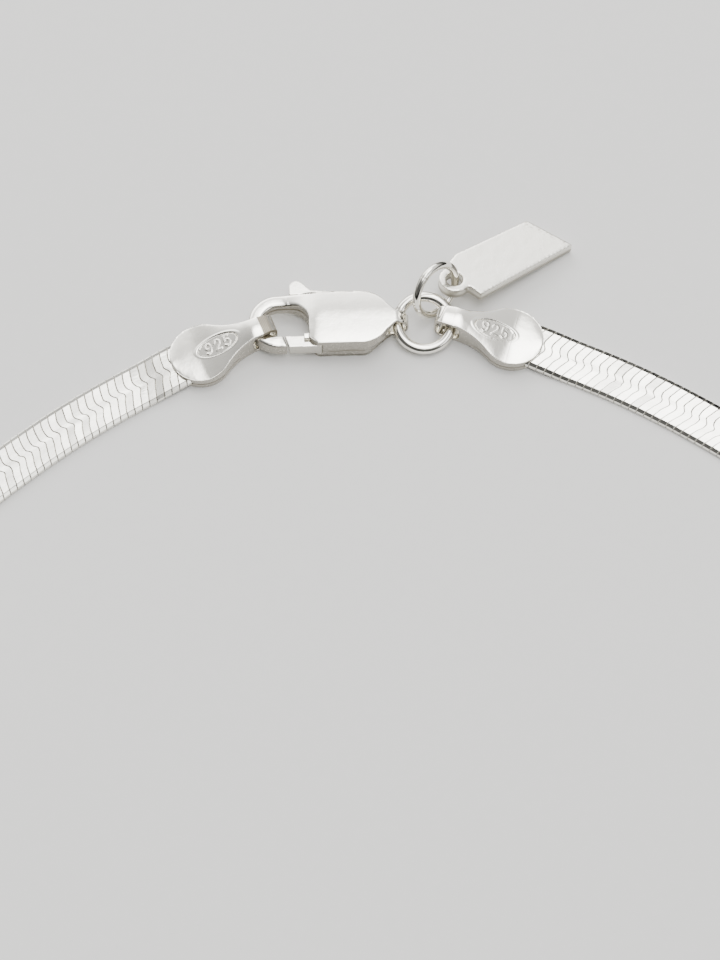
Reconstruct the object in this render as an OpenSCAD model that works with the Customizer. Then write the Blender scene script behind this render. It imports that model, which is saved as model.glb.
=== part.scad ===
// Herringbone chain necklace, 18 inch, with a lobster clasp and a plain metal tag.
// It lies flat and closed on a surface at z = 0, the clasp at the back, all lengths in millimetres.
// The pieces are placed in a loop frame whose middle is between the two end caps.
// The whole part is then moved back so that its box is centred on the origin.

/* [Loop] */
// Length of the necklace along its middle, with the clasp and the caps
loop_length = 457; // [400:1:540]
// Angle of the band to the line of the clasp where it leaves the cap
band_angle = 27.2; // [22:0.2:32]
// Radius of the first bend beside the cap
bend_r = 71; // [60:1:90]
// Angle of the band at the end of the first bend
bend_end = 36; // [34:1:40]
// Radius of the flatter shoulder between the first bend and the big arc
shoulder_r = 125; // [100:1:160]

/* [Band] */
// Width of the woven band
band_w = 4.1; // [3.5:0.1:4.3]
// Thickness of the woven band
band_t = 0.6; // [0.45:0.05:0.7]
// Height and width of the bevel along both upper edges
band_bevel = 0.3; // [0.15:0.05:0.35]
// How far the band sits towards the outside of the loop from the middle of the cap's round end
band_shift = 0.28; // [0:0.02:0.3]
// Length over which the band comes down from the cap to the surface
ramp_len = 3; // [2.5:0.5:6]

/* [End caps] */
// Diameter of the round end over the band
cap_round_d = 5.3; // [5.1:0.1:6.5]
// Thickness of metal at the rim of the round end
cap_rim_t = 1.12; // [1.05:0.01:1.4]
// Thickness over the middle of the round end
cap_mid_t = 1.3; // [1.2:0.05:1.6]
// Width of the neck
cap_neck_w = 1.8; // [1.4:0.1:2.2]
// Width of the neck's nose
cap_nose_w = 1.5; // [1.2:0.1:1.8]
// Thickness of the neck
cap_neck_t = 2.5; // [2.4:0.05:2.8]
// Length from the middle of the round end to the tunnel
cap_len = 5.32; // [4.9:0.02:6.2]
// Radius of the hollow curve on each side of the cap
cap_flank_r = 6; // [4:0.5:9]
// Angle of the caps to the line of the clasp
cap_angle = 18.2; // [14:0.1:22]
// How far the tunnels lie in front of the clasp line
cap_drop = 1.3; // [1.1:0.05:1.4]
// Thickness of the sheet under the band and under the tunnel
leaf_t = 0.25; // [0.2:0.01:0.3]
// Height of the tunnel through the neck
tunnel_h = 1.82; // [1.8:0.01:1.95]
// Width of the tunnel through the neck
tunnel_w = 2.04; // [1.98:0.02:2.1]
// Thickness of the wall at the nose of the neck
nose_wall = 0.18; // [0.15:0.01:0.25]
// Radius of the fold round the nose
nose_fold = 0.75; // [0.6:0.05:0.9]
// Radius of the tunnel's corners
tunnel_corner = 0.5; // [0.3:0.05:0.6]
// Length of the stamped oval
oval_len = 3.6; // [3:0.1:4.4]
// Width of the stamped oval
oval_w = 1.7; // [1:0.1:2.2]
// Depth of the stamped oval
oval_depth = 0.1; // [0.05:0.01:0.15]

/* [Clasp] */
// Length of the clasp from the hook to the middle of its eye
clasp_len = 12.35; // [12.3:0.05:12.45]
// Distance from the hook's outer end in to the tunnel of the left cap
hook_hold = 0.9; // [0.88:0.01:0.92]
// Width of the clasp, and the diameter of its round ends
clasp_w = 5.0; // [4.8:0.05:5.1]
// Thickness of the clasp's body
clasp_t = 2.4; // [2.3:0.05:2.6]
// Width of the hook's bar seen from above
hook_bar = 1.05; // [0.9:0.05:1.1]
// Thickness of the hook's bar
hook_t = 1.3; // [1.2:0.05:1.4]
// Thickness of the lever
lever_t = 1.2; // [1.1:0.05:1.25]
// Diameter of the lever's pin
pin_d = 0.8; // [0.6:0.05:0.9]
// Diameter of the tip of the lever's thumb piece
thumb_d = 1.24; // [1:0.02:1.4]
// Angle by which the lever opens
lever_open = 28; // [20:1:30]
// Diameter of the eye for the large ring
eye_d = 1.82; // [1.78:0.01:1.86]
// Width of the strap round the eye
eye_strap = 1.1; // [1:0.05:1.2]
// Thickness of the wall at the end of the eye
eye_wall = 0.17; // [0.15:0.01:0.3]

/* [Rings] */
// Wire of the large ring
big_wire = 0.92; // [0.8:0.02:0.94]
// Diameter of the large ring at the middle of its wire
big_ring_d = 4.53; // [4.48:0.01:4.58]
// Tilt of the large ring, its near side down on the surface
big_tilt = 18; // [17:0.5:19]
// Wire of the small ring
small_wire = 0.7; // [0.5:0.02:0.72]
// Diameter of the small ring at the middle of its wire
small_ring_d = 4.55; // [4.4:0.05:4.7]
// Lean of the small ring's axis from upright
small_lean = 71.2; // [69:0.5:73]

/* [Tag] */
// Length of the tag's long edge
tag_len = 9.85; // [8:0.05:12]
// Width of the tag
tag_w = 4.65; // [4.4:0.05:5.5]
// Thickness of the tag
tag_t = 1; // [0.8:0.05:1.05]
// Slant of the tag's far end, in degrees from square
tag_slant = 22; // [0:1:25]
// How much narrower the tag is at its far end
tag_taper = 0.4; // [0:0.05:0.6]
// Diameter of the lug
lug_d = 2.7; // [2.5:0.05:2.8]
// Diameter of the hole in the lug
lug_hole_d = 1.4; // [1.36:0.02:1.6]

/* [Clearances] */
// Gap between the band and the walls of its pocket
pocket_gap = 0.03; // [0.02:0.01:0.05]
// Gap between the lever and the cheeks of its slot
slot_gap = 0.05; // [0.03:0.01:0.08]
// Radial gap of the pin in the lever
pin_gap = 0.04; // [0.02:0.01:0.08]
// Gap between the tip of the hook and the lever
tip_gap = 0.15; // [0.1:0.01:0.2]
// Gap between a ring and the surface that it lies on
floor_gap = 0.02; // [0.01:0.01:0.05]

/* [Hidden] */
$fn = 96;
silver = [0.86, 0.86, 0.85];
past = 0.2;
wide = 40;

// Length of an arc of radius r over an angle in degrees
function arc_len(r, a) = r * a * PI / 180;
// Unit vectors in the plan: along a line at angle a below +X, and across it to the left
function along(a) = [cos(a), -sin(a)];
function across(a) = [sin(a), cos(a)];

// The clasp and the large ring between the two tunnels set how far apart the caps stand
eye_in = 0.14;
ring_in = -0.02;
cap_reach = (clasp_len - hook_hold + eye_in + big_ring_d + ring_in) / 2;

// Where the right cap stands: its tunnel, and the middle of its round end
tunnel_at = [cap_reach, -cap_drop];
round_at = tunnel_at + cap_len * along(cap_angle);
rim_r = cap_round_d / 2;
tunnel_shift = 0.1;
oval_place = 0.72;
nose_n = -tunnel_shift - tunnel_w / 2 - nose_wall;

// The band's middle line on the right: straight, the first bend, the shoulder, then the big arc.
// Each of the three arcs starts at its own angle and turns about its own middle.
tuck = 0.3;
lap = 0.1;
pocket_at = round_at + band_shift * across(band_angle);
bend_from = pocket_at + (rim_r + ramp_len) * along(band_angle);
bend_at = bend_from - bend_r * across(band_angle);
shoulder_at = bend_at + (bend_r - shoulder_r) * across(bend_end);
straight_half = norm(tunnel_at) + cap_len + rim_r + ramp_len;
function loop_radius(a) = shoulder_at.x / sin(a) + shoulder_r;
function half_len(a) = straight_half + arc_len(bend_r, bend_end - band_angle)
    + arc_len(shoulder_r, a - bend_end) + arc_len(loop_radius(a), 180 - a);
// Angle at which the shoulder ends, halved down until the loop has its length
function solve(low, high, steps) =
    let(mid = (low + high) / 2)
    steps == 0 ? mid :
    half_len(mid) > loop_length / 2 ? solve(low, mid, steps - 1) : solve(mid, high, steps - 1);
shoulder_end = solve(bend_end + 1, 120, 40);
loop_r = loop_radius(shoulder_end);
loop_at = shoulder_at + (shoulder_r - loop_r) * across(shoulder_end);

// The clasp's own frame, its x axis along the clasp: middles of the hook's bend, the pad and the eye
clasp_turn = -2;
hook_x = -4.05;
half_w = clasp_w / 2;
mid_z = clasp_t / 2;
eye_x = hook_x - half_w + clasp_len;
pad_x = eye_x - 2.9;
clasp_at = [half_w - hook_x - hook_hold - cap_reach, -0.75];
open_r = half_w - hook_bar;
tail_share = [0.6, 0.76];
eye_root = [0.3, 0.85];
open_end = -1.5;
slope_from = -3.3;
slope_to = -1.3;
cheek_t = (clasp_t - lever_t) / 2 - slot_gap;

// The lever in the clasp's frame: pin, hub, gate, spine at the back, and thumb piece
pin_at = [0.45, -1.0];
pin_end = 0.02;
hub_r = 0.95;
gate_y = -open_r;
gate_root = -0.45;
arm_x = -0.72;
tip_x = -3.2;
tip_slant = 0.35;
spine_x = [-1.3, 1.1];
spine_out = [0.5, 0.3];
side_room = 0.2;
swing_room = 15;
root_room = [1.2, 0.75];
arm_back = 1.35;
thumb_at = [-2.52, half_w + 0.82];
thumb_r = thumb_d / 2;
lip = [0.6, 0.5, 0.35];
lip_at = [-1.95, gate_y - 0.45];
cheek_edge = [[-1.45, -1.9], [-0.9, -2.4], [-0.6, -half_w - past]];

// The rings' middles
big_at = [cap_reach - ring_in - big_ring_d / 2, -1.15,
          big_ring_d / 2 * sin(big_tilt) + big_wire / 2 + floor_gap];
small_turn = -46.5;
small_at = [big_at.x + 1.13, 1.22,
            small_ring_d / 2 * sin(small_lean) + small_wire / 2 + floor_gap];

// The tag: its hole hangs on the small ring, its far edge lies on the surface
hole_at = [small_at.x + 1.645, 2.39];
hole_z = 1.7;
tag_heading = 32;
tag_start = 0.9;
far_heading = tag_heading + 90 + tag_slant;
far_low = tag_start + tag_len;
tag_low = tag_w * 0.54;
tag_high = tag_w - tag_low;
far_high = [far_low - (tag_w - tag_taper) * tan(tag_slant), tag_high - tag_taper];
lug_root = [0.5, -1.15];
shoulder_x = [0.9, 1.7];
shoulder_drop = 0.3;
far_reach = far_low * cos(tag_slant) - tag_low * sin(tag_slant);
tag_tilt = asin((hole_z - tag_t / 2) / far_reach);

// The part's box reaches from the tag's far corner to the front of the loop
tag_back_y = hole_at.y + far_high.x * sin(tag_heading) + far_high.y * cos(tag_heading);
front_y = loop_at.y - loop_r - band_w / 2;
to_origin = [0, -(tag_back_y + front_y) / 2, 0];

module in_place() {
    color(silver) translate(to_origin) children();
}

// Section of the band, middle of its underside at the origin
module band_section() {
    half = band_w / 2;
    polygon([[-half, 0], [half, 0], [half, band_t - band_bevel], [half - band_bevel, band_t],
             [-half + band_bevel, band_t], [-half, band_t - band_bevel]]);
}

// A stretch of band along +X from the origin
module band_straight(len) {
    rotate([90, 0, 90]) linear_extrude(len) band_section();
}

// A stretch of band that turns about the origin, between two angles from +Y towards +X
module band_arc(r, from, to) {
    rotate([0, 0, 90 - to]) rotate_extrude(angle = to - from, $fn = 360) translate([r, 0]) band_section();
}

// The right end of the band: level inside the cap, down to the surface, then the two first arcs
module band_side() {
    slope = asin(leaf_t / ramp_len);
    translate(pocket_at) rotate([0, 0, -band_angle]) {
        translate([tuck, 0, leaf_t]) band_straight(rim_r - tuck + past);
        intersection() {
            translate([rim_r, 0, leaf_t]) rotate([0, slope, 0]) band_straight(ramp_len + past);
            translate([0, -wide / 2, 0]) cube([wide, wide, wide]);
        }
    }
    translate(bend_at) band_arc(bend_r, band_angle, bend_end + lap);
    translate(shoulder_at) band_arc(shoulder_r, bend_end, shoulder_end + lap);
}

module herringbone_band() {
    in_place() {
        band_side();
        mirror([1, 0, 0]) band_side();
        translate(loop_at) band_arc(loop_r, shoulder_end, 360 - shoulder_end);
    }
}

// Outline of a cap from above, tunnel at the origin, round end on +X
module cap_outline() {
    neck = cap_neck_w / 2;
    flank = sqrt(pow(rim_r + cap_flank_r, 2) - pow(neck + cap_flank_r, 2));
    meet = rim_r / (rim_r + cap_flank_r);
    translate([cap_len, 0]) circle(rim_r);
    difference() {
        polygon([[nose_n, -cap_nose_w / 2], [cap_len - flank, -neck],
                 [cap_len - flank * meet, -(neck + cap_flank_r) * meet],
                 [cap_len - flank * meet, (neck + cap_flank_r) * meet],
                 [cap_len - flank, neck], [nose_n, cap_nose_w / 2]]);
        for (side = [-1, 1])
            translate([cap_len - flank, side * (neck + cap_flank_r)]) circle(cap_flank_r, $fn = 240);
    }
}

// Side view of a cap, x along it and y up, the nose folded over with round corners
module cap_side() {
    difference() {
        polygon([[nose_n, 0], [nose_n, cap_neck_t], [leaf_t, cap_neck_t], [cap_len, cap_mid_t],
                 [cap_len + rim_r, cap_rim_t], [cap_len + rim_r, 0]]);
        for (flip = [0, 1])
            translate([nose_n, cap_neck_t / 2]) mirror([0, flip]) translate([0, cap_neck_t / 2 - nose_fold])
                difference() {
                    translate([-past, 0]) square([nose_fold + past, nose_fold + past]);
                    translate([nose_fold, 0]) circle(nose_fold);
                }
    }
}

// Section of the tunnel: a square with round corners, middle at the origin
module tunnel_section() {
    for (x = [-1, 1], y = [-1, 1])
        translate([x * (tunnel_w / 2 - tunnel_corner), y * (tunnel_h / 2 - tunnel_corner)])
            circle(tunnel_corner);
    square([tunnel_w, tunnel_h - 2 * tunnel_corner], center = true);
    square([tunnel_w - 2 * tunnel_corner, tunnel_h], center = true);
}

// The stamped oval, cut square to the sloping face
module oval_stamp() {
    slope = atan((cap_neck_t - cap_mid_t) / (cap_len - leaf_t));
    middle = oval_place * cap_len;
    face_z = cap_neck_t - (middle - leaf_t) * tan(slope);
    oval = [for (a = [0 : 10 : 350]) [oval_len / 2 * cos(a), oval_w / 2 * sin(a)]];
    translate([middle, 0, face_z]) rotate([0, slope, 0]) translate([0, 0, -oval_depth])
        linear_extrude(wide) polygon(oval);
}

// The right cap in the loop frame
module cap() {
    translate(tunnel_at) rotate([0, 0, -cap_angle]) difference() {
        intersection() {
            linear_extrude(cap_neck_t) cap_outline();
            rotate([90, 0, 0]) linear_extrude(wide, center = true) cap_side();
        }
        translate([-tunnel_shift, 0, leaf_t + tunnel_h / 2]) rotate([90, 0, 0])
            linear_extrude(wide, center = true) tunnel_section();
        translate([cap_len, 0, leaf_t - pocket_gap]) rotate([0, 0, cap_angle - band_angle])
            translate([tuck - pocket_gap, band_shift - band_w / 2 - pocket_gap, 0])
                cube([wide, band_w + 2 * pocket_gap, band_t + 2 * pocket_gap]);
        oval_stamp();
    }
}

module right_cap() {
    in_place() cap();
}

module left_cap() {
    in_place() mirror([1, 0, 0]) cap();
}

module in_clasp() {
    in_place() translate(clasp_at) rotate([0, 0, clasp_turn]) children();
}

// A long slot shape between two x places
module stadium(r, x0, x1) {
    translate([x0, 0]) circle(r);
    translate([x1, 0]) circle(r);
    translate([x0, -r]) square([x1 - x0, 2 * r]);
}

// Outline of the whole clasp from above, with the strap of its eye
module clasp_outline() {
    neck = [pad_x + half_w * tail_share.x, half_w * tail_share.y];
    strap = eye_strap / 2;
    stadium(half_w, hook_x, pad_x);
    polygon([[neck.x, -neck.y], [eye_x - eye_root.x, -eye_root.y], [eye_x, -strap],
             [eye_x + eye_d, -strap], [eye_x + eye_d, strap], [eye_x, strap],
             [eye_x - eye_root.x, eye_root.y], [neck.x, neck.y]]);
}

// Side view of the clasp: thin hook on the left, thick body, round nose at the eye
module clasp_side() {
    low = mid_z - hook_t / 2;
    high = mid_z + hook_t / 2;
    left = hook_x - half_w - past;
    nose = eye_x + eye_d / 2 + eye_wall - mid_z;
    polygon([[left, low], [slope_from, low], [slope_to, 0], [nose, 0], [nose, clasp_t],
             [slope_to, clasp_t], [slope_from, high], [left, high]]);
    translate([nose, mid_z]) circle(mid_z);
}

// The clasp's opening, square at its lower right where the lever starts
module opening_outline() {
    stadium(open_r, hook_x, open_end - open_r);
    translate([open_end - open_r, -open_r]) square(open_r);
}

// Room for the lever between the cheeks, over its whole swing
module slot_outline() {
    low = -half_w - past;
    reach = norm([spine_x[1], half_w + spine_out[1]] - pin_at) + slot_gap;
    left = arm_x - slot_gap;
    right = gate_root + slot_gap;
    side = pin_at.x + hub_r + side_room;
    translate(pin_at) circle(hub_r + slot_gap);
    intersection() {
        translate(pin_at) circle(reach);
        polygon([[left, pin_at.y - hub_r / 2], [left, wide],
                 [side + wide * tan(lever_open + swing_room), wide], [side, pin_at.y],
                 [side, pin_at.y - hub_r / 2]]);
    }
    // the gate, from the tip of the hook to the hub, and its root when the lever is open
    polygon([[tip_x - tip_gap, low], [right, low], [right, pin_at.y],
             [left, gate_y + root_room.y], [open_end - past, gate_y + root_room.x],
             [open_end - past, gate_y], [tip_x - tip_gap - tip_slant, gate_y], [tip_x - tip_gap, -half_w]]);
}

module clasp_body() {
    in_clasp() {
        difference() {
            intersection() {
                linear_extrude(clasp_t) clasp_outline();
                rotate([90, 0, 0]) linear_extrude(wide, center = true) clasp_side();
            }
            translate([0, 0, -past]) linear_extrude(clasp_t + 2 * past) opening_outline();
            translate([0, 0, cheek_t]) linear_extrude(clasp_t - 2 * cheek_t) slot_outline();
            // above and below the gate the cheeks start with a slanted edge
            for (z = [-past, clasp_t - cheek_t - past])
                translate([0, 0, z]) linear_extrude(cheek_t + 2 * past)
                    polygon([cheek_edge[0], cheek_edge[1], cheek_edge[2], [tip_x - tip_gap, -half_w - past],
                             [tip_x - tip_gap, gate_y + past], [cheek_edge[0].x, gate_y + past]]);
            translate([pin_at.x, pin_at.y, -past])
                cylinder(d = pin_d + pin_end, h = clasp_t - cheek_t / 2 + past);
            translate([eye_x, 0, mid_z]) rotate([90, 0, 0]) cylinder(d = eye_d, h = wide, center = true);
        }
        // lips that reach over and under the root of the gate
        for (z = [cheek_t - lip.z, clasp_t - cheek_t])
            translate([lip_at.x, lip_at.y, z]) cube(lip);
    }
}

module lever_outline() {
    back = half_w + 2 * slot_gap;
    upper_side = thumb_at + thumb_r * [sin(45), cos(45)];
    polygon([[tip_x - tip_slant, gate_y], [tip_x, -half_w], [gate_root, -half_w],
             [gate_root, pin_at.y], [arm_back, pin_at.y], [arm_back, half_w],
             [spine_x[1], half_w + spine_out[1]], [spine_x[0], half_w + spine_out[0]],
             upper_side, thumb_at, thumb_at - [thumb_r, 0],
             [thumb_at.x - thumb_r, back], [arm_x, back], [arm_x, gate_y]]);
    translate(pin_at) circle(hub_r);
    translate(thumb_at) circle(thumb_r);
}

module clasp_lever() {
    in_clasp() difference() {
        translate([0, 0, mid_z - lever_t / 2]) linear_extrude(lever_t) lever_outline();
        translate([pin_at.x, pin_at.y, 0]) cylinder(d = pin_d + 2 * pin_gap, h = clasp_t);
    }
}

module clasp_pin() {
    in_clasp() translate([pin_at.x, pin_at.y, pin_end])
        cylinder(d = pin_d, h = clasp_t - cheek_t / 2 - 2 * pin_end);
}

module ring(d, wire) {
    rotate_extrude() translate([d / 2, 0]) circle(d = wire, $fn = 48);
}

module clasp_ring() {
    in_place() translate(big_at) rotate([big_tilt, 0, 0]) ring(big_ring_d, big_wire);
}

module tag_ring() {
    in_place() translate(small_at) rotate([0, small_lean, small_turn]) ring(small_ring_d, small_wire);
}

// Outline of the tag, its hole at the origin and its long edge along +X
module tag_outline() {
    circle(d = lug_d);
    polygon([lug_d / 2 * [-0.8, 0.6], [0, 0], lug_root, [tag_start, -tag_low], [far_low, -tag_low],
             far_high, [shoulder_x[1], tag_high], [shoulder_x[0], tag_high - shoulder_drop]]);
}

module tag_plate() {
    in_place() translate([hole_at.x, hole_at.y, hole_z])
        rotate(a = tag_tilt, v = [cos(far_heading), sin(far_heading), 0])
            rotate([0, 0, tag_heading]) difference() {
                linear_extrude(tag_t, center = true) tag_outline();
                cylinder(d = lug_hole_d, h = wide, center = true);
            }
}

herringbone_band();
left_cap();
right_cap();
clasp_body();
clasp_lever();
clasp_pin();
clasp_ring();
tag_ring();
tag_plate();
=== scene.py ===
"""A flat silver herringbone chain lying closed on a pale surface, as seen from above its front."""
import math

import bpy
import numpy as np
from mathutils import Matrix, Vector


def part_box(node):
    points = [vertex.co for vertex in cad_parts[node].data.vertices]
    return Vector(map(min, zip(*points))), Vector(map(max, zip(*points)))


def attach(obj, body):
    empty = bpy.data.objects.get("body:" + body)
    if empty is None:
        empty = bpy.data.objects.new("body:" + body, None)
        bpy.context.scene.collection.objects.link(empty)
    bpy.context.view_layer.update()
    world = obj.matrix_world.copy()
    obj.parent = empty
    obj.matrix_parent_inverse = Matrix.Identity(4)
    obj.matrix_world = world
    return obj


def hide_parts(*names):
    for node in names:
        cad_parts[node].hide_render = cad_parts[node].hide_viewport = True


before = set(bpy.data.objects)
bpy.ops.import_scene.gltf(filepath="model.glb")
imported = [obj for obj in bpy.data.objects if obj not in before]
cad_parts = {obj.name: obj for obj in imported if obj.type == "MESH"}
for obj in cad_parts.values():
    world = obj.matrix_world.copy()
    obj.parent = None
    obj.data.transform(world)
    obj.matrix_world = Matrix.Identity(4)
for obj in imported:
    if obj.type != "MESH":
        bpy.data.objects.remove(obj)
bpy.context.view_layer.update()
MM = 0.001
rng = np.random.default_rng(4)

# Sizes are in mm and angles in degrees, in the loop frame: X to the right, Y to the clasp's side, Z up.
BAND_W, BAND_T, BEVEL = 4.1, 0.6, 0.3
BAND_ANGLE, BAND_SHIFT = 27.2, 0.28       # how the band leaves its cap: its heading, and its offset from the middle
BEND_R, BEND_END = 71.0, 36.0             # the bend next to the cap, and the heading where it ends
SHOULDER_R, LOOP_LEN = 125.0, 457.0       # the flatter shoulder after it, and the band's whole way round
RIM_R, RAMP = 2.65, 3.0                   # the cap's round end, and the band's way down from it to the surface
LEAF, TUCK = 0.25, 0.3                    # the cap's sheet, and where the band starts in its pocket
CAP_LEN, CAP_ANGLE = 5.32, 18.2           # from the cap's tunnel to its round end, and the cap's heading
REACH, DROP = 8.05, 1.3                   # the tunnel's place, to the side and towards the front


def along(a):
    """The way a heading runs, on the right half."""
    a = np.radians(a)
    return np.stack([np.cos(a), -np.sin(a)], -1)


def across(a):
    """Outward, square to a heading."""
    a = np.radians(a)
    return np.stack([np.sin(a), np.cos(a)], -1)


# the band's middle line: straight out of the cap, bend, shoulder, and one arc round the front
tunnel = np.array([REACH, -DROP])
round_at = tunnel + CAP_LEN * along(CAP_ANGLE)
pocket = round_at + BAND_SHIFT * across(BAND_ANGLE)
bend_from = pocket + (RIM_R + RAMP) * along(BAND_ANGLE)
bend_at = bend_from - BEND_R * across(BAND_ANGLE)
shoulder_at = bend_at + (BEND_R - SHOULDER_R) * across(BEND_END)
straight_half = float(np.hypot(*tunnel)) + CAP_LEN + RIM_R + RAMP


def loop_radius(a):
    """Radius of the front arc that meets the shoulder where its heading is a."""
    return shoulder_at[0] / math.sin(math.radians(a)) + SHOULDER_R


def half_length(a):
    """Half the loop's length if the shoulder ends at heading a."""
    return (straight_half + BEND_R * math.radians(BEND_END - BAND_ANGLE)
            + SHOULDER_R * math.radians(a - BEND_END) + loop_radius(a) * math.radians(180 - a))


low, high = BEND_END + 1, 120
for _ in range(50):
    mid = (low + high) / 2
    if half_length(mid) > LOOP_LEN / 2:
        high = mid
    else:
        low = mid
SHOULDER_END = mid
LOOP_R = loop_radius(mid)
loop_at = shoulder_at + (SHOULDER_R - LOOP_R) * across(SHOULDER_END)
len_straight = RIM_R + RAMP
len_bend = BEND_R * math.radians(BEND_END - BAND_ANGLE)
len_shoulder = SHOULDER_R * math.radians(SHOULDER_END - BEND_END)
len_loop = LOOP_R * math.radians(180 - SHOULDER_END)
HALF = len_straight + len_bend + len_shoulder + len_loop
# the loop frame has the clasp's middle at its origin; the part's frame is this much further back
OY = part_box("herringbone_band")[0][1] / MM - (loop_at[1] - LOOP_R - BAND_W / 2)


def path(t):
    """Middle line, outward direction and height of the underside at distance t from the left cap's middle."""
    t = np.asarray(t, float)
    left = t < HALF
    u = np.where(left, t, 2 * HALF - t)
    a = np.select([u < len_straight, u < len_straight + len_bend, u < len_straight + len_bend + len_shoulder],
                  [np.full_like(u, BAND_ANGLE),
                   BAND_ANGLE + np.degrees((u - len_straight) / BEND_R),
                   BEND_END + np.degrees((u - len_straight - len_bend) / SHOULDER_R)],
                  SHOULDER_END + np.degrees((u - len_straight - len_bend - len_shoulder) / LOOP_R))
    out = across(a)
    first = (u < len_straight)[..., None]
    second = (u < len_straight + len_bend)[..., None]
    third = (u < len_straight + len_bend + len_shoulder)[..., None]
    p = np.where(first, pocket + u[..., None] * along(np.full_like(u, BAND_ANGLE)),
                 np.where(second, bend_at + BEND_R * out,
                          np.where(third, shoulder_at + SHOULDER_R * out, loop_at + LOOP_R * out)))
    side = np.where(left, -1.0, 1.0)
    p = p * np.stack([side, np.ones_like(side)], -1)
    out = out * np.stack([side, np.ones_like(side)], -1)
    k = np.clip((u - RIM_R) / RAMP, 0, 1)
    z = LEAF * (1 - k)
    return p, out, z


def mesh_object(name, verts_mm, faces, smooth=False):
    """A mesh object from millimetre vertices given in the loop frame."""
    v = np.array(verts_mm, float)
    v[:, 1] += OY
    m = bpy.data.meshes.new(name)
    m.from_pydata((v * MM).tolist(), [], faces)
    m.validate()
    o = bpy.data.objects.new(name, m)
    bpy.context.scene.collection.objects.link(o)
    if smooth:
        m.shade_smooth()
    return o


def set_deep(o, values):
    """Writes at each vertex how dark and dull the silver is there, 0 to 1, for tarnish and for painted shade."""
    at = o.data.attributes.new("deep", "FLOAT", "POINT")
    at.data.foreach_set("value", np.asarray(values, np.float32))


# materials
def new_material(name):
    m = bpy.data.materials.new(name)
    m.use_nodes = True
    nt = m.node_tree
    return m, nt, nt.nodes["Principled BSDF"]


def node(nt, kind, **inputs):
    n = nt.nodes.new(kind)
    for k, v in inputs.items():
        n.inputs[k].default_value = v
    return n


# what stands in joints and under edges: the colour of tarnish and of painted shade, and how much of the shine is left
TARNISH_AND_SHADE, TARNISH_AND_SHADE_SHINE, TARNISH_AND_SHADE_ROUGH = (0.175, 0.145, 0.095), 0.25, 0.3


def silver(name, colour, rough, scale, bump, scratches=0.0, rough_var=0.06):
    """Silver with uneven roughness, sparse scratches and soft unevenness; the deep attribute says where it is
    tarnished and where it carries painted shade.
    """
    m, nt, b = new_material(name)
    b.inputs["Metallic"].default_value = 1.0
    coord = nt.nodes.new("ShaderNodeTexCoord")
    big = node(nt, "ShaderNodeTexNoise", Scale=scale * 0.25, Detail=2.0)
    nt.links.new(coord.outputs["Object"], big.inputs["Vector"])
    fine = node(nt, "ShaderNodeTexNoise", Scale=scale, Detail=3.0)
    nt.links.new(coord.outputs["Object"], fine.inputs["Vector"])
    ramp = nt.nodes.new("ShaderNodeMapRange")
    ramp.inputs["To Min"].default_value = rough - rough_var
    ramp.inputs["To Max"].default_value = rough + rough_var
    nt.links.new(big.outputs["Fac"], ramp.inputs["Value"])
    # sparse fine scratches: a noise drawn out one way and cut off high
    drawn = nt.nodes.new("ShaderNodeMapping")
    drawn.inputs["Scale"].default_value = (1.0, 0.07, 1.0)
    drawn.inputs["Rotation"].default_value = (0.0, 0.0, 0.6)
    nt.links.new(coord.outputs["Object"], drawn.inputs["Vector"])
    streak = node(nt, "ShaderNodeTexNoise", Scale=6000.0, Detail=2.0)
    nt.links.new(drawn.outputs[0], streak.inputs["Vector"])
    cut = nt.nodes.new("ShaderNodeMapRange")
    cut.inputs["From Min"].default_value = 0.6
    cut.inputs["From Max"].default_value = 0.72
    cut.inputs["To Max"].default_value = scratches
    nt.links.new(streak.outputs["Fac"], cut.inputs["Value"])
    both = nt.nodes.new("ShaderNodeMath")
    both.operation = "ADD"
    nt.links.new(ramp.outputs[0], both.inputs[0])
    nt.links.new(cut.outputs[0], both.inputs[1])
    mix = nt.nodes.new("ShaderNodeMix")
    mix.data_type = "RGBA"
    mix.inputs[6].default_value = (*[c * 0.96 for c in colour], 1)
    mix.inputs[7].default_value = (*colour, 1)
    nt.links.new(fine.outputs["Fac"], mix.inputs[0])
    # the deep attribute darkens and dulls the silver: tarnish, and painted shade
    tarnish_and_shade = nt.nodes.new("ShaderNodeAttribute")
    tarnish_and_shade.attribute_name = "deep"
    dark = nt.nodes.new("ShaderNodeMix")
    dark.data_type = "RGBA"
    dark.inputs[7].default_value = (*TARNISH_AND_SHADE, 1)
    nt.links.new(tarnish_and_shade.outputs["Fac"], dark.inputs[0])
    nt.links.new(mix.outputs[2], dark.inputs[6])
    nt.links.new(dark.outputs[2], b.inputs["Base Color"])
    dull = nt.nodes.new("ShaderNodeMapRange")
    dull.inputs["To Min"].default_value = 1.0
    dull.inputs["To Max"].default_value = TARNISH_AND_SHADE_SHINE
    nt.links.new(tarnish_and_shade.outputs["Fac"], dull.inputs["Value"])
    nt.links.new(dull.outputs[0], b.inputs["Metallic"])
    matt = nt.nodes.new("ShaderNodeMath")
    matt.operation = "MULTIPLY_ADD"
    matt.inputs[1].default_value = TARNISH_AND_SHADE_ROUGH
    nt.links.new(tarnish_and_shade.outputs["Fac"], matt.inputs[0])
    nt.links.new(both.outputs[0], matt.inputs[2])
    nt.links.new(matt.outputs[0], b.inputs["Roughness"])
    bp = nt.nodes.new("ShaderNodeBump")
    bp.inputs["Strength"].default_value = bump
    bp.inputs["Distance"].default_value = 0.0002
    nt.links.new(fine.outputs["Fac"], bp.inputs["Height"])
    nt.links.new(bp.outputs[0], b.inputs["Normal"])
    return m


woven = silver("woven_silver", (0.96, 0.94, 0.87), 0.16, scale=900, bump=0.05)
polished = silver("polished_silver", (0.96, 0.935, 0.86), 0.085, scale=1400, bump=0.04, scratches=0.06,
                  rough_var=0.03)
tag_mat = silver("tag_silver", (0.95, 0.928, 0.85), 0.24, scale=1100, bump=0.12, scratches=0.2)

# the woven band
PITCH = 0.72
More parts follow.
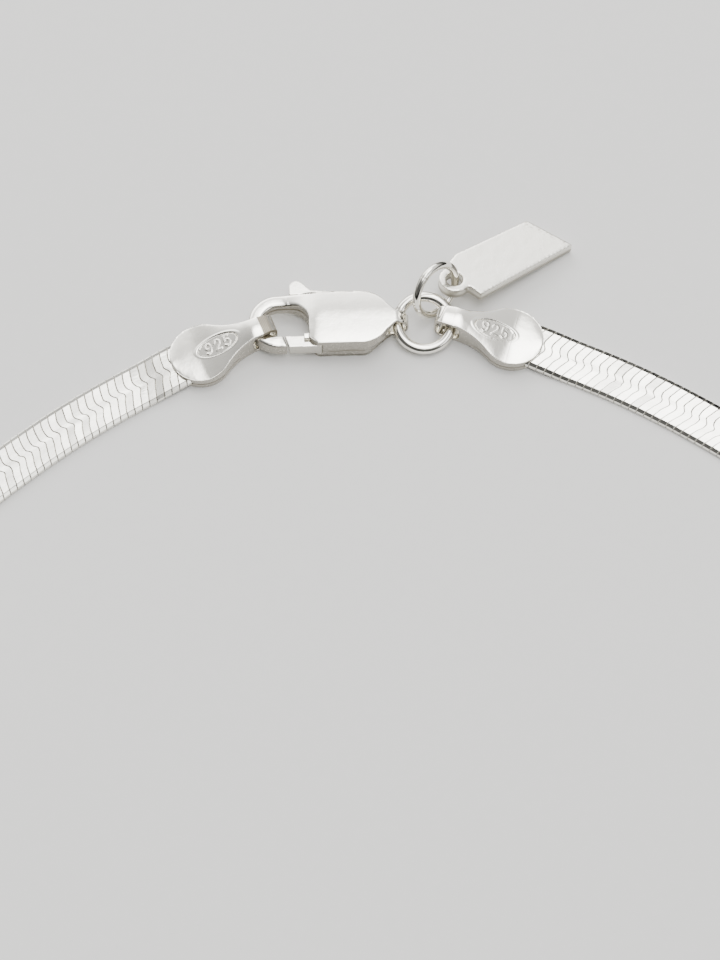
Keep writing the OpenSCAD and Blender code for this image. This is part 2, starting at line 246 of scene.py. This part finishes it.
# across the band, outward positive: how far along the band each row's joint is set off there
HOOK_W = [-2.2, -1.6, -1.0, -0.6, -0.3, -0.1, 0.05, 0.3, 0.6, 1.1, 1.75, 2.2]
HOOK_T = [0.95, 0.75, 0.50, 0.28, 0.13, 0.17, 0.30, 0.44, 0.42, 0.28, 0.0, -0.06]
# the band's section, outward positive: across, height, and its outward normal
half, b, t = BAND_W / 2, BEVEL, BAND_T
SECTION = ([(-half + 0.1, 0.015, 0, -1), (-half + 0.01, 0.06, -0.9, -0.4), (-half, t - b - 0.02, -1, 0.0),
            (-half + 0.05, t - b + 0.08, -0.75, 0.65), (-half + b - 0.06, t - 0.04, -0.65, 0.75)]
           + [(w, t, 0, 1) for w in (-1.75, -1.35, -1.0, -0.75, -0.55, -0.4, -0.25, -0.12, 0.0, 0.12, 0.25, 0.4,
                                     0.6, 0.9, 1.3, 1.6)]
           + [(half - 0.13, t - 0.17, 0.47, 0.88), (half - 0.04, t - 0.21, 0.6, 0.8),
              (half - 0.01, t - 0.25, 0.85, 0.5),
              (half, t - b - 0.02, 1, 0.0), (half - 0.01, 0.06, 0.9, -0.4), (half - 0.1, 0.015, 0, -1)])
# a row's own section along the band: share of the pitch, depth below the band's face, darkening (tarnish and painted
# shade in the joint)
ROW = [(0.015, 0.08, 0.6), (0.033, 0.03, 0.25), (0.085, 0.0, 0.0), (0.915, 0.0, 0.0), (0.967, 0.03, 0.25),
       (0.985, 0.08, 0.6)]


def band_mesh():
    """The rows of the weave, each a bent strip from edge to edge, with how tarnished each vertex is."""
    sec = np.array(SECTION)
    row = np.array(ROW)
    hook = np.interp(sec[:, 0], HOOK_W, HOOK_T)
    first = int(math.ceil((TUCK + 0.15 + 0.06) / PITCH))
    count = int((2 * HALF - TUCK - 0.15 - 0.95) / PITCH) - first
    k = np.arange(first, first + count)
    n, s, r = len(k), len(sec), len(row)
    # each row leans a little, and each joint strays a little
    tilt = rng.normal(0, 0.006, n)[:, None, None]
    roll = rng.normal(0, 0.0025, n)[:, None, None]
    stray = rng.normal(0, 0.035, (n + 1, s))
    stray[:, 1:-1] = (stray[:, :-2] + 2 * stray[:, 1:-1] + stray[:, 2:]) / 3
    # the two edges keep more even joints
    stray[:, :5] *= 0.3
    stray[:, -6:] *= 0.3
    share = row[None, None, :, 0]
    t_at = (k[:, None, None] * PITCH + hook[None, :, None] + share * PITCH
            + (1 - share) * stray[:-1, :, None] + share * stray[1:, :, None])
    p, out, z0 = path(t_at)
    # the joints show less on the inner side of the right half, where the rows lie closer
    right_half = (k * PITCH > HALF)[:, None]
    faint = np.interp(sec[:, 0], [-1.76, -1.7, -0.5, 0.2, 0.6], [1.0, 0.15, 0.25, 0.9, 0.8])
    worn = np.where(right_half, faint[None], 1.0)
    sunk = row[None, None, :, 1] * worn[:, :, None]
    w = np.broadcast_to(sec[None, :, 0, None] - sunk * sec[None, :, 2, None], t_at.shape)
    zz = sec[None, :, 1, None] - sunk * sec[None, :, 3, None]
    top = (sec[:, 3] > 0.5)[None, :, None]
    zz = zz + top * (tilt * (row[None, None, :, 0] - 0.5) * 2 + roll * sec[None, :, 0, None])
    zz = np.maximum(zz + z0, 0.004)
    v = np.concatenate([p + out * w[..., None], zz[..., None]], -1).reshape(-1, 3)
    base = (np.arange(n) * s * r)[:, None, None]
    i = np.arange(s - 1)[None, :, None]
    j = np.arange(r - 1)[None, None, :]
    a = base + i * r + j
    quads = np.stack([a, a + 1, a + r + 1, a + r], -1).reshape(-1, 4)
    # the joints get tarnish and painted shade, heavier on the left half than on the right
    joint_tarnish_and_shade = worn * np.where(right_half, 0.9, 1.35)
    deep = np.clip(row[None, None, :, 2] * joint_tarnish_and_shade[:, :, None], 0, 1).reshape(-1)
    return v, quads, deep


v, quads, deep = band_mesh()
# painted shade in the joints: a dark core under the rows, in the tarnish colour throughout
core_t = np.linspace(TUCK + 0.1, 2 * HALF - TUCK - 0.1, 700)
core = [(-half + 0.09, 0.03), (-half + 0.08, t - b - 0.06), (-half + b + 0.02, t - 0.1), (half - b - 0.02, t - 0.1),
        (half - 0.08, t - b - 0.06), (half - 0.09, 0.03)]
cv, cq = [], []
p, out, z0 = path(core_t)
for w, z in core:
    cv.append(np.concatenate([p + out * w, (z0 + z)[:, None]], -1))
cv = np.stack(cv, 1).reshape(-1, 3)
nc = len(core)
for i in range(len(core_t) - 1):
    for j in range(nc):
        cq.append((i * nc + j, (i + 1) * nc + j, (i + 1) * nc + (j + 1) % nc, i * nc + (j + 1) % nc))
allv = np.concatenate([v, cv])
faces = quads.tolist() + [tuple(x + len(v) for x in f) for f in cq]
band = mesh_object("woven_band", allv, faces)
set_deep(band, np.concatenate([deep, np.ones(len(cv))]))
band.data.materials.append(woven)
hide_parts("herringbone_band")
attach(band, "root")


# dressed copies of the hard pieces
def resurfaced(node_name, name, voxel, smooth, soft=None):
    """A finer copy of a CAD piece with worn edges, in loop millimetres. soft: where edges are rounder."""
    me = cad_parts[node_name].data.copy()
    me.transform(Matrix.Scale(1 / MM, 4))
    me.transform(Matrix.Translation((0, -OY, 0)))
    o = bpy.data.objects.new(name, me)
    bpy.context.scene.collection.objects.link(o)
    mod = o.modifiers.new("remesh", "REMESH")
    mod.mode = "VOXEL"
    mod.voxel_size = voxel * 1.0
    mod = o.modifiers.new("smooth", "SMOOTH")
    mod.factor = 0.5
    mod.iterations = smooth
    apply_all(o)
    if soft:
        where, rounds = soft
        v = get_points(o)
        group = o.vertex_groups.new(name="soft")
        weight = np.clip(where(v), 0, 1)
        for i in np.nonzero(weight > 0.01)[0]:
            group.add([int(i)], float(weight[i]), "REPLACE")
        mod = o.modifiers.new("round", "SMOOTH")
        mod.factor = 0.5
        mod.iterations = rounds
        mod.vertex_group = "soft"
        apply_all(o)
        o.vertex_groups.clear()
    return o


def apply_all(o):
    dg = bpy.context.evaluated_depsgraph_get()
    me = bpy.data.meshes.new_from_object(o.evaluated_get(dg))
    o.modifiers.clear()
    o.data = me


def get_points(o):
    v = np.empty(len(o.data.vertices) * 3)
    o.data.vertices.foreach_get("co", v)
    return v.reshape(-1, 3)


def get_normals(o):
    n = np.empty(len(o.data.vertices) * 3)
    o.data.vertex_normals.foreach_get("vector", n)
    return n.reshape(-1, 3)


def put_points(o, v, deep=None):
    """Writes loop millimetres back as metres in the part's frame."""
    w = v.copy()
    w[:, 1] += OY
    o.data.vertices.foreach_set("co", (w * MM).ravel())
    if deep is not None:
        set_deep(o, deep)
    o.data.update()
    o.data.shade_smooth()


def step(x, a, b):
    k = np.clip((x - a) / (b - a), 0, 1)
    return k * k * (3 - 2 * k)


def finish_piece(o, node_name, body, mat):
    o.data.materials.clear()
    o.data.materials.append(mat)
    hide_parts(node_name)
    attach(o, body)


def stroke_distance(x, y, lines):
    """Distance of each point to the nearest of the given broken lines."""
    best = np.full(x.shape, 9.0)
    for line in lines:
        for (ax, ay), (bx, by) in zip(line[:-1], line[1:]):
            dx, dy = bx - ax, by - ay
            k = np.clip(((x - ax) * dx + (y - ay) * dy) / (dx * dx + dy * dy), 0, 1)
            best = np.minimum(best, np.hypot(x - ax - k * dx, y - ay - k * dy))
    return best


# plain strokes of the fineness number in unit boxes
NINE = [[(0.9, 0.75), (0.75, 0.96), (0.4, 1.0), (0.12, 0.86), (0.1, 0.64), (0.3, 0.47), (0.65, 0.46), (0.88, 0.62),
         (0.9, 0.75), (0.87, 0.36), (0.68, 0.06), (0.32, 0.0), (0.12, 0.1)]]
TWO = [[(0.1, 0.78), (0.3, 0.98), (0.68, 0.99), (0.9, 0.8), (0.83, 0.58), (0.1, 0.0), (0.92, 0.0)]]
FIVE = [[(0.86, 1.0), (0.2, 1.0), (0.14, 0.56), (0.5, 0.63), (0.82, 0.52), (0.9, 0.28), (0.72, 0.04), (0.35, 0.0),
         (0.1, 0.12)]]
FIGURE_W, FIGURE_H, FIGURE_GAP = 0.58, 0.92, 0.24
FIGURES = []
for place, lines in enumerate((NINE, TWO, FIVE)):
    x0 = (place - 1) * (FIGURE_W + FIGURE_GAP) - FIGURE_W / 2
    FIGURES += [[(x0 + x * FIGURE_W, (y - 0.5) * FIGURE_H) for x, y in line] for line in lines]


def cap_local(v, side):
    """Cap frame: x from the tunnel to the round end, y to the back side, z up."""
    x = v[:, 0] * side - REACH
    y = v[:, 1] + DROP
    c, s_ = math.cos(math.radians(CAP_ANGLE)), math.sin(math.radians(CAP_ANGLE))
    return np.stack([x * c - y * s_, x * s_ + y * c, v[:, 2]], -1)


def cap_back(q, side):
    c, s_ = math.cos(math.radians(CAP_ANGLE)), math.sin(math.radians(CAP_ANGLE))
    x = q[:, 0] * c + q[:, 1] * s_ + REACH
    y = -q[:, 0] * s_ + q[:, 1] * c - DROP
    return np.stack([x * side, y, q[:, 2]], -1)


CAP_TOP, CAP_ROUND, CAP_END = 2.5, 1.3, 1.12    # the cap's height at its neck, at the round end's middle and edge
SOFT_X = np.linspace(0.0, 8.2, 60)
SOFT_Z = np.interp(SOFT_X, [0.8, CAP_LEN, CAP_LEN + RIM_R], [CAP_TOP, CAP_ROUND, CAP_END])
for turn in range(14):
    # crisp at the neck, soft at the round end
    start = 1 if turn < 7 else 20
    SOFT_Z[start:-1] = (SOFT_Z[start - 1:-2] + 2 * SOFT_Z[start:-1] + SOFT_Z[start + 1:]) / 4
# half the cap's width along its length, for the crown across its top
HALF_X = [0, 1.6, 3.0, 4.2, 5.32, 6.6, 7.5, 7.97]
HALF_Y = [0.85, 0.95, 1.5, 2.35, 2.65, 2.3, 1.5, 0.8]


def make_cap(node_name, name, side):
    """A cap with its soft fall, pressed oval, seam, worn edges and painted shade on its walls; side is -1 on the left
    and 1 on the right.
    """
    o = resurfaced(node_name, name, 0.042, 10)
    v, n = get_points(o), get_normals(o)
    q = cap_local(v, side)
    top = step(n[:, 2], 0.6, 0.9)
    # the pressed oval, e = 1 on its edge, and the raised figures in it
    x, y = q[:, 0] - 0.72 * CAP_LEN, q[:, 1]
    e = np.hypot(x / 1.8, y / 0.85)
    d = stroke_distance(x * side, y, FIGURES)
    inside = 1 - step(e, 0.86, 0.92)
    figure = (1 - step(d, 0.05, 0.10)) * inside
    rim = step(e, 0.98, 1.03) * (1 - step(e, 1.08, 1.2))
    # a soft fall from the neck instead of the flat slopes, and a crown across
    plain = np.interp(q[:, 0], [LEAF, CAP_LEN, CAP_LEN + RIM_R], [CAP_TOP, CAP_ROUND, CAP_END])
    soft = np.interp(q[:, 0], SOFT_X, SOFT_Z)
    crown = -0.07 * np.clip(np.abs(q[:, 1]) / np.interp(q[:, 0], HALF_X, HALF_Y), 0, 1) ** 2
    fill = 0.05 * (1 - step(e, 0.93, 1.0))
    q[:, 2] += top * (0.046 * figure + fill + 0.015 * rim + (soft - plain + crown) * step(q[:, 2], 0.95, 1.08))
    # the seam between the two leaves on the wall of the round end
    wall = (1 - np.abs(n[:, 2])) ** 2 * step(q[:, 0], 1.6, 3.0)
    seam = np.exp(-((q[:, 2] - 0.52) / 0.05) ** 2) * wall
    w = cap_back(q, side) - n * np.array([1, 1, 0]) * (0.06 * seam)[:, None]
    edge = step(n[:, 2], 0.12, 0.3) * (1 - step(n[:, 2], 0.42, 0.6)) * step(q[:, 2], 0.9, 1.0)
    fold = 0.0
    if side < 0:
        # painted dark reflection on the left cap's fold, with faint stripes across it
        fold = (0.90 + 0.14 * np.sin(q[:, 0] * 46)) * step(-q[:, 0], -0.06, 0.08) * step(q[:, 2], 1.2, 1.6)
        fold *= 1 - 0.5 * step(-q[:, 0], 0.75, 0.9)
    # painted shade in the tunnel and on the two leaves' walls, a painted dark reflection in the line under the top's
    # edge, and a darker ring at the foot of each figure
    mouth = 0.5 * (1 - step(np.hypot(q[:, 0], q[:, 2] - 1.25), 0.9, 1.0))
    deep = np.clip(fold + mouth + seam * 0.8 + 0.5 * (1 - step(np.abs(n[:, 2]), 0.15, 0.45)) + 0.5 * edge +
                   top * (step(d, 0.06, 0.10) * (1 - step(d, 0.13, 0.2)) * inside * 0.3), 0, 1)
    put_points(o, w, deep)
    finish_piece(o, node_name, "root", polished)
    return o


make_cap("left_cap", "cap_left_worn", -1)
make_cap("right_cap", "cap_right_worn", 1)

CLASP_AT, CLASP_TURN = (-2.4, -0.75), math.radians(-2)


def clasp_local(v):
    c, s_ = math.cos(CLASP_TURN), math.sin(CLASP_TURN)
    x, y = v[:, 0] - CLASP_AT[0], v[:, 1] - CLASP_AT[1]
    return np.stack([x * c + y * s_, -x * s_ + y * c, v[:, 2]], -1)


def clasp_back(q):
    c, s_ = math.cos(CLASP_TURN), math.sin(CLASP_TURN)
    return np.stack([q[:, 0] * c - q[:, 1] * s_ + CLASP_AT[0], q[:, 0] * s_ + q[:, 1] * c + CLASP_AT[1], q[:, 2]], -1)


# the clasp's height along its length as it is built, and the softer one of a worn casting
TOP_X = np.linspace(-7, 7, 281)
TOP_Z = np.interp(TOP_X, [-3.3, -1.3], [1.85, 2.4])
TOP_SOFT = TOP_Z.copy()
for _ in range(200):
    TOP_SOFT[1:-1] = (TOP_SOFT[:-2] + 2 * TOP_SOFT[1:-1] + TOP_SOFT[2:]) / 4


def hook_part(v):
    q = clasp_local(v)
    return step(-q[:, 0], 1.7, 3.2) * (1 - 0.6 * step(-q[:, 1], 0.9, 1.6) * step(q[:, 0], -4.6, -3.9))


body = resurfaced("clasp_body", "clasp_body_cast", 0.055, 4, (hook_part, 70))
v, n = get_points(body), get_normals(body)
# the soft rounding takes some of the hook's bar away, so it is put on again
hook = hook_part(v)
q = clasp_local(v + n * (0.05 * hook)[:, None])
top = step(n[:, 2], 0.2, 0.8) * step(q[:, 2], 1.3, 1.6)
dome = 0.15 * np.clip((q[:, 1] + 0.2) / 2.7, 0, 1) ** 2 + 0.03 * np.clip((-q[:, 1] - 1.0) / 1.5, 0, 1) ** 2
q[:, 2] += top * (np.interp(q[:, 0], TOP_X, TOP_SOFT - TOP_Z) - dome * (1 - hook))
# below its upper edge the tail is drawn in
draw = 0.3 * step(q[:, 0], 3.2, 4.8) * (1 - step(q[:, 2], 0.5, 1.5)) * step(np.abs(q[:, 1]), 0.5, 0.9)
q[:, 1] *= 1 - draw
# the lower edge is rounded off on the outside; the walls carry painted shade, darker and duller than the top, with a
# painted shade line along the slot and a painted dark line under the front top edge
side = 1 - step(np.abs(n[:, 2]), 0.2, 0.5)
foot = 0.22 * (1 - np.clip(q[:, 2] / 0.45, 0, 1)) ** 2 * (q[:, 0] > -2.0)
q[:, 1] -= foot * n[:, 1] * side
slot_shade_line = np.exp(-((q[:, 2] - 0.95 + 0.05 * np.sin(q[:, 0] * 2.3)) / 0.09) ** 2) * step(q[:, 0], -0.4, 0.6)
slot_shade_line *= 1 - step(q[:, 0], 2.6, 3.4)
edge = step(n[:, 2], 0.12, 0.3) * (1 - step(n[:, 2], 0.42, 0.6)) * step(q[:, 2], 1.5, 1.7) * (q[:, 1] < -0.5)
# painted dark reflections in two lines on the hook's inner wall, and painted contact shade along the front wall where
# it meets the surface
inner = step(-((q[:, 0] + 3.0) * n[:, 0] + (q[:, 1] - 0.1) * n[:, 1]), 0.2, 0.6) * (q[:, 0] < -0.9)
wave = 0.04 * np.sin(q[:, 0] * 2.1 + q[:, 1] * 1.3)
lines = np.exp(-((q[:, 2] - 1.36 - wave) / 0.11) ** 2) + 0.5 * np.exp(-((q[:, 2] - 1.72) / 0.05) ** 2)
ground = (1 - step(q[:, 2], 0.06, 0.2)) * (q[:, 1] < 0)
deep = side * (0.58 + 0.35 * slot_shade_line + 0.6 * inner * lines + 0.5 * ground) + 0.45 * edge
put_points(body, clasp_back(q), np.clip(deep, 0, 1))
finish_piece(body, "clasp_body", "root", polished)

lever = resurfaced("clasp_lever", "clasp_lever_cast", 0.045, 4)
v, n = get_points(lever), get_normals(lever)
# painted shade on the lever's walls, heavier where they meet the surface at the front
ground = (1 - step(v[:, 2], 0.1, 0.3)) * (v[:, 1] < -1)
put_points(lever, v, (1 - step(np.abs(n[:, 2]), 0.2, 0.5)) * (0.3 + 0.4 * ground))
finish_piece(lever, "clasp_lever", "lever", polished)

TAG_HOLE = (8.58, 2.39, 1.7)      # the middle of the hole in its lug
tag = resurfaced("tag_plate", "tag_plate_worn", 0.05, 45)
v, n = get_points(tag), get_normals(tag)
flat = n[n[:, 2] > 0.9].mean(0)
flat /= np.linalg.norm(flat)
height = (v - np.array(TAG_HOLE)) @ flat
# worn specks along the far end, on its two faces; the rim carries painted shade, heavier on its lower half
end = 0.525 * v[:, 0] + 0.851 * v[:, 1]
specks = step(np.sin(v[:, 0] * 9.1 + 2 * np.sin(v[:, 1] * 7.3)) * np.sin(v[:, 1] * 11.7 + 1.3), 0.25, 0.6)
specks *= step(end, end.max() - 0.8, end.max() - 0.35) * step(np.abs(n @ flat), 0.5, 0.8)
rim = 1 - step(np.abs(n @ flat), 0.2, 0.7)
put_points(tag, v, rim * (0.1 + 0.55 * (1 - step(height, -0.2, 0.1))) + 0.4 * specks)
finish_piece(tag, "tag_plate", "root", tag_mat)


# rings
def ring(name, node_name, at, rotation, d, wire, seam_at):
    """A round wire ring with the faint joint where its ends were soldered; d is the middle line's diameter."""
    n_major, n_minor = 144, 32
    verts, faces, dark = [], [], []
    for i in range(n_major):
        a = 2 * math.pi * i / n_major
        off = abs((a - seam_at + math.pi) % (2 * math.pi) - math.pi) * d / 2
        groove = math.exp(-(off / 0.05) ** 2)
        r = wire / 2 * (1 + 0.035 * math.exp(-(off / 0.35) ** 2) - 0.06 * groove)
        for j in range(n_minor):
            round_wire = 2 * math.pi * j / n_minor
            reach = d / 2 + r * math.cos(round_wire)
            point = rotation @ Vector((reach * math.cos(a), reach * math.sin(a), r * math.sin(round_wire)))
            verts.append((point.x + at[0], point.y + at[1], point.z + at[2]))
            dark.append(0.5 * groove)
            faces.append((i * n_minor + j, ((i + 1) % n_major) * n_minor + j,
                          ((i + 1) % n_major) * n_minor + (j + 1) % n_minor, i * n_minor + (j + 1) % n_minor))
    o = mesh_object(name, verts, faces, smooth=True)
    set_deep(o, dark)
    finish_piece(o, node_name, "root", polished)
    return o


ring("clasp_ring_wire", "clasp_ring", (5.805, -1.15, 1.17992), Matrix.Rotation(math.radians(18), 3, "X"), 4.53, 0.92,
     math.radians(150))
ring("tag_ring_wire", "tag_ring", (6.935, 1.22, 2.52363),
     Matrix.Rotation(math.radians(-46.5), 3, "Z") @ Matrix.Rotation(math.radians(71.2), 3, "Y"), 4.55, 0.70,
     math.radians(200))

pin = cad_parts["clasp_pin"]
pin.data.materials.clear()
pin.data.materials.append(polished)

# surface, light, camera
bpy.ops.mesh.primitive_plane_add(size=3.0, location=(0, 0, 0))
floor = bpy.context.object
floor.name = "pale_surface"
m, nt, bs = new_material("pale_card")
bs.inputs["Roughness"].default_value = 0.9
noise = node(nt, "ShaderNodeTexNoise", Scale=900.0, Detail=3.0)
coord = nt.nodes.new("ShaderNodeTexCoord")
nt.links.new(coord.outputs["Object"], noise.inputs["Vector"])
mix = nt.nodes.new("ShaderNodeMix")
mix.data_type = "RGBA"
mix.inputs[6].default_value = (0.81, 0.805, 0.79, 1)
mix.inputs[7].default_value = (0.84, 0.835, 0.82, 1)
nt.links.new(noise.outputs["Fac"], mix.inputs[0])
# painted light on the surface: its colour is scaled darker towards the front and lighter towards the back
away = nt.nodes.new("ShaderNodeSeparateXYZ")
nt.links.new(coord.outputs["Object"], away.inputs[0])
fall = nt.nodes.new("ShaderNodeMapRange")
fall.inputs["From Min"].default_value = 0.0
fall.inputs["From Max"].default_value = 0.11
fall.inputs["To Min"].default_value = 0.955
fall.inputs["To Max"].default_value = 1.02
nt.links.new(away.outputs["Y"], fall.inputs["Value"])
shade = nt.nodes.new("ShaderNodeVectorMath")
shade.operation = "SCALE"
nt.links.new(mix.outputs[2], shade.inputs[0])
nt.links.new(fall.outputs[0], shade.inputs["Scale"])
nt.links.new(shade.outputs[0], bs.inputs["Base Color"])
floor.data.materials.append(m)

world = bpy.data.worlds.new("studio")
bpy.context.scene.world = world
world.use_nodes = True
wn = world.node_tree
bg = wn.nodes["Background"]
# soft cards all round: azimuth from +X, height angle, half angles where full and where gone, factor
BASE = 1.45
CARDS = [(66.4, 73, 2, 20.9, 8.5), (103, 15, 5, 48, 4.0), (-100, 35, 45, 95, 0.29), (5, 8, 12, 34, 0.25),
         (72, 8, 12, 22, 0.08), (108, 7, 8, 22, 1.5), (-90, 28, 20, 33, 0.3), (47, 17, 12, 27, 0.22),
         (-140, 42, 12, 34, 0.3), (-35, 50, 15, 42, 1.5), (-90, 76, 6, 20, 10.0), (142, 58, 7, 17, 0.85),
         (34, 55, 8, 18, 0.82), (-39, 30, 7, 19, 4.5)]
where = wn.nodes.new("ShaderNodeTexCoord")


def product(a, b):
    """The product of a socket and another socket or a number, in the world's nodes."""
    mul = wn.nodes.new("ShaderNodeMath")
    mul.operation = "MULTIPLY"
    wn.links.new(a, mul.inputs[0])
    if isinstance(b, float):
        mul.inputs[1].default_value = b
    else:
        wn.links.new(b, mul.inputs[1])
    return mul.outputs[0]


total = None
for az, el, full, gone, factor in CARDS:
    az, el = math.radians(az), math.radians(el)
    dot = wn.nodes.new("ShaderNodeVectorMath")
    dot.operation = "DOT_PRODUCT"
    dot.inputs[1].default_value = (math.cos(az) * math.cos(el), math.sin(az) * math.cos(el), math.sin(el))
    wn.links.new(where.outputs["Generated"], dot.inputs[0])
    card = wn.nodes.new("ShaderNodeMapRange")
    card.interpolation_type = "SMOOTHSTEP"
    card.inputs["From Min"].default_value = math.cos(math.radians(gone))
    card.inputs["From Max"].default_value = math.cos(math.radians(full))
    card.inputs["To Min"].default_value = 1.0
    card.inputs["To Max"].default_value = factor
    wn.links.new(dot.outputs["Value"], card.inputs["Value"])
    if total is None:
        total = card.outputs[0]
    else:
        total = product(total, card.outputs[0])
# a dim belt just above the horizon, as around a table in a bright tent
split = wn.nodes.new("ShaderNodeSeparateXYZ")
wn.links.new(where.outputs["Generated"], split.inputs[0])
belt = wn.nodes.new("ShaderNodeMapRange")
belt.interpolation_type = "SMOOTHSTEP"
belt.inputs["From Min"].default_value = math.sin(math.radians(10))
belt.inputs["From Max"].default_value = math.sin(math.radians(27))
belt.inputs["To Min"].default_value = 0.06
belt.inputs["To Max"].default_value = 1.0
wn.links.new(split.outputs["Z"], belt.inputs["Value"])
total = product(total, belt.outputs[0])
wn.links.new(product(total, BASE), bg.inputs["Strength"])
bg.inputs["Color"].default_value = (1.0, 0.998, 0.99, 1)

# the camera, from the photo's angle: 62 degrees above the surface
EL, AZ, FOCAL, SCALE = math.radians(62), math.radians(-3.5), 3600.0, 11.8
back = Vector((math.sin(AZ) * math.cos(EL), -math.cos(AZ) * math.cos(EL), math.sin(EL)))
right = Vector((math.cos(AZ), math.sin(AZ), 0))
up = back.cross(right)
dist = FOCAL / SCALE
cx, cy = (350 - 360) / FOCAL * dist, -(322 - 480) / FOCAL * dist
place = Vector((-0.4, OY, 0)) - right * cx - up * cy + back * dist
cam_data = bpy.data.cameras.new("camera")
cam_data.sensor_fit = "HORIZONTAL"
cam_data.sensor_width = 36.0
cam_data.lens = FOCAL / 720 * 36.0
cam_data.clip_start = 0.01
cam = bpy.data.objects.new("camera", cam_data)
bpy.context.scene.collection.objects.link(cam)
rot = Matrix((right, up, back)).transposed()
cam.matrix_world = Matrix.Translation(place * MM) @ rot.to_4x4()
bpy.context.scene.camera = cam
